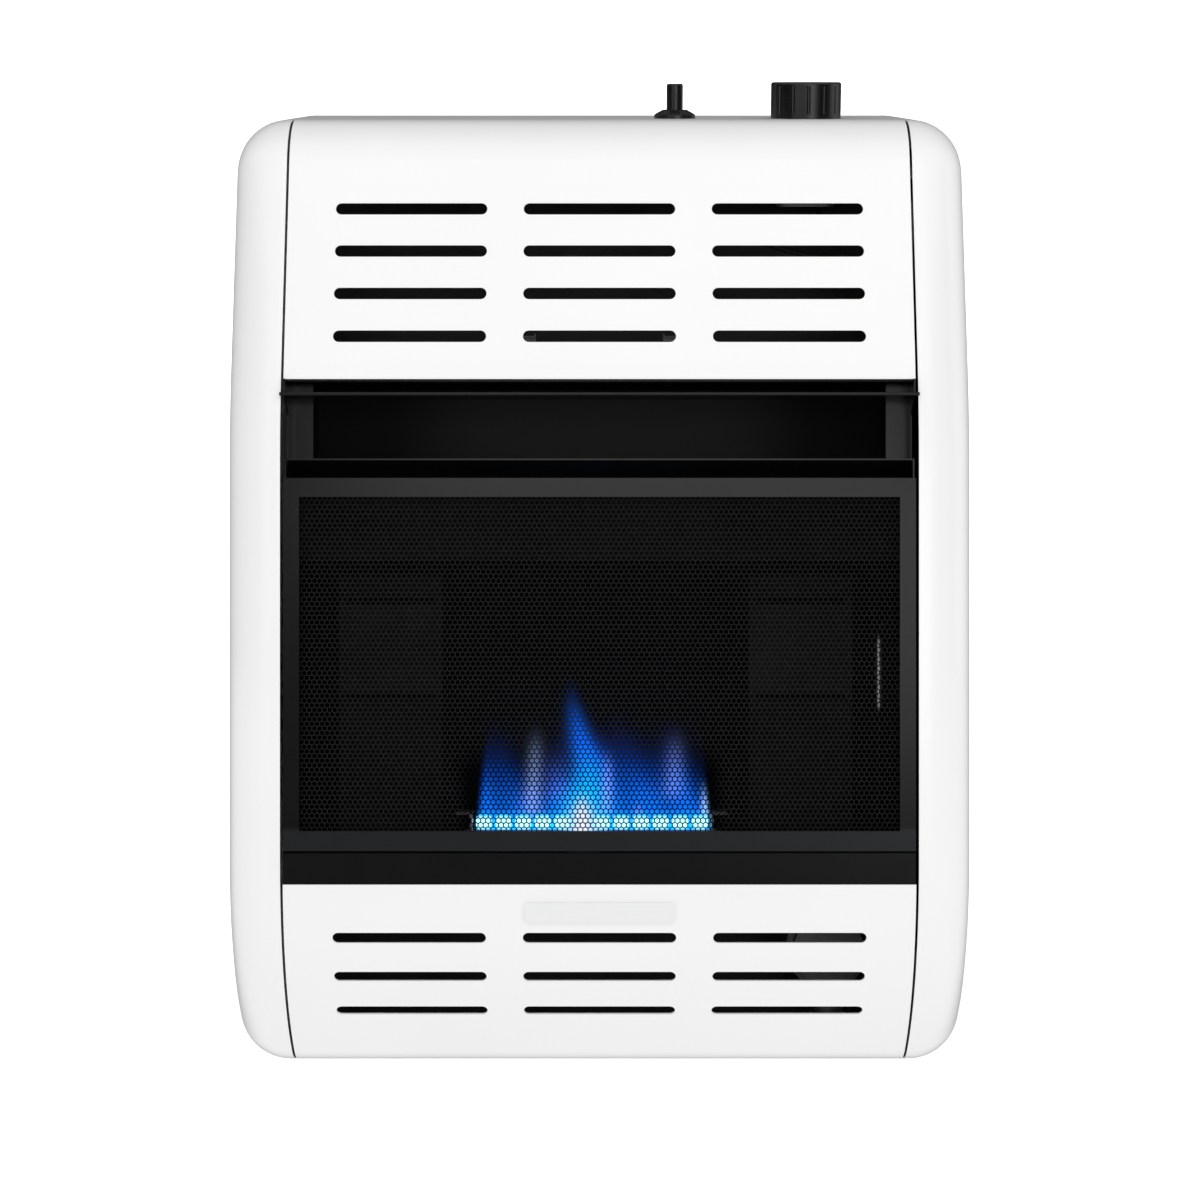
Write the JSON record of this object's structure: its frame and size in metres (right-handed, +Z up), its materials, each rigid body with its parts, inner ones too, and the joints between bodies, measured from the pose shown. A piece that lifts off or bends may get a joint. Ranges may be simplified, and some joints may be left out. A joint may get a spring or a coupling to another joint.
{
  "type": "ventless gas heater",
  "caption": "Wall-hung vent-free gas room heater with a white slotted cabinet, a black net guard before a blue-flame burner, an igniter push-button and a fluted control knob on top.",
  "frame": {"origin": "middle of the two wall screws, on the plane of the wall", "axes": "+X to the right seen from the front, +Y into the wall, +Z up; the front looks towards -Y"},
  "size_m": [0.462, 0.2127, 0.6371],
  "materials": {
    "white_enamel": "satin",
    "badge_grey": "satin",
    "galvanised_steel": "satin",
    "black_enamel": "satin",
    "black_net": "matte",
    "firebox_steel": "matte",
    "burner_steel": "satin",
    "brass": "satin",
    "aluminium_tube": "satin",
    "cast_aluminium": "matte",
    "copper_lead": "satin",
    "lead_sleeve": "matte",
    "ceramic": "gloss",
    "spring_steel": "satin",
    "black_plastic": "satin"
  },
  "bodies": {
    "cabinet": {"right_side_shell": "white_enamel", "left_side_shell": "white_enamel", "upper_front_panel": "white_enamel", "lower_front_panel": "white_enamel", "badge_plate": "badge_grey", "base_pan": "galvanised_steel", "back_panel": "galvanised_steel", "wall_bracket": "galvanised_steel", "valve_bracket": "galvanised_steel", "regulator_bracket": "galvanised_steel", "guard_frame": "black_enamel", "lower_rail": "black_enamel", "upper_louver": "black_enamel", "lower_louver": "black_enamel", "right_louver_bracket": "black_enamel", "left_louver_bracket": "black_enamel", "guard_net": "black_net", "firebox_back": "firebox_steel", "firebox_right_wall": "firebox_steel", "firebox_left_wall": "firebox_steel", "firebox_hood": "firebox_steel", "firebox_shelf": "firebox_steel", "firebox_lintel": "firebox_steel", "left_baffle": "firebox_steel", "right_baffle": "firebox_steel", "burner_tube": "burner_steel", "burner_port_strip": "burner_steel", "left_burner_bracket": "burner_steel", "right_burner_bracket": "burner_steel", "mixing_tube": "burner_steel", "orifice_bracket": "burner_steel", "pilot_bracket": "burner_steel", "pilot_hood": "burner_steel", "thermocouple": "burner_steel", "orifice_fitting": "brass", "tube_nuts": "brass", "gas_inlet_fitting": "brass", "valve_bonnet": "brass", "pilot_tube": "aluminium_tube", "inlet_tube": "aluminium_tube", "main_tube": "aluminium_tube", "pressure_regulator": "cast_aluminium", "gas_valve_body": "cast_aluminium", "thermocouple_lead": "copper_lead", "ignition_lead": "lead_sleeve", "spark_electrode": "ceramic", "valve_spring": "spring_steel", "igniter_spring": "spring_steel", "back_panel_screws": "spring_steel", "valve_screws": "spring_steel", "burner_screws": "spring_steel", "igniter_collar": "black_plastic", "igniter_body": "black_plastic"},
    "igniter": {"igniter_button": "black_plastic"},
    "plunger": {"reset_plunger": "spring_steel"},
    "knob": {"control_knob": "black_plastic", "valve_stem": "brass"}
  },
  "joints": [
    {"name": "igniter_push", "type": "slide", "parent": "cabinet", "child": "igniter", "axis": [0, -0.2113, 0.9774], "range_m": [-0.007, 0], "stiffness_N_per_m": 600, "springref_m": 0.002, "deforming": ["igniter_spring"]},
    {"name": "knob_push", "type": "slide", "parent": "cabinet", "child": "plunger", "axis": [0, -0.2113, 0.9774], "range_m": [-0.003, 0], "stiffness_N_per_m": 1500, "springref_m": 0.002, "deforming": ["valve_spring"]},
    {"name": "knob_turn", "type": "hinge", "parent": "plunger", "child": "knob", "pos_m": [0.1345, -0.112, 0.13987], "axis": [0, -0.2113, 0.9774], "range_deg": [0, 225]}
  ]
}
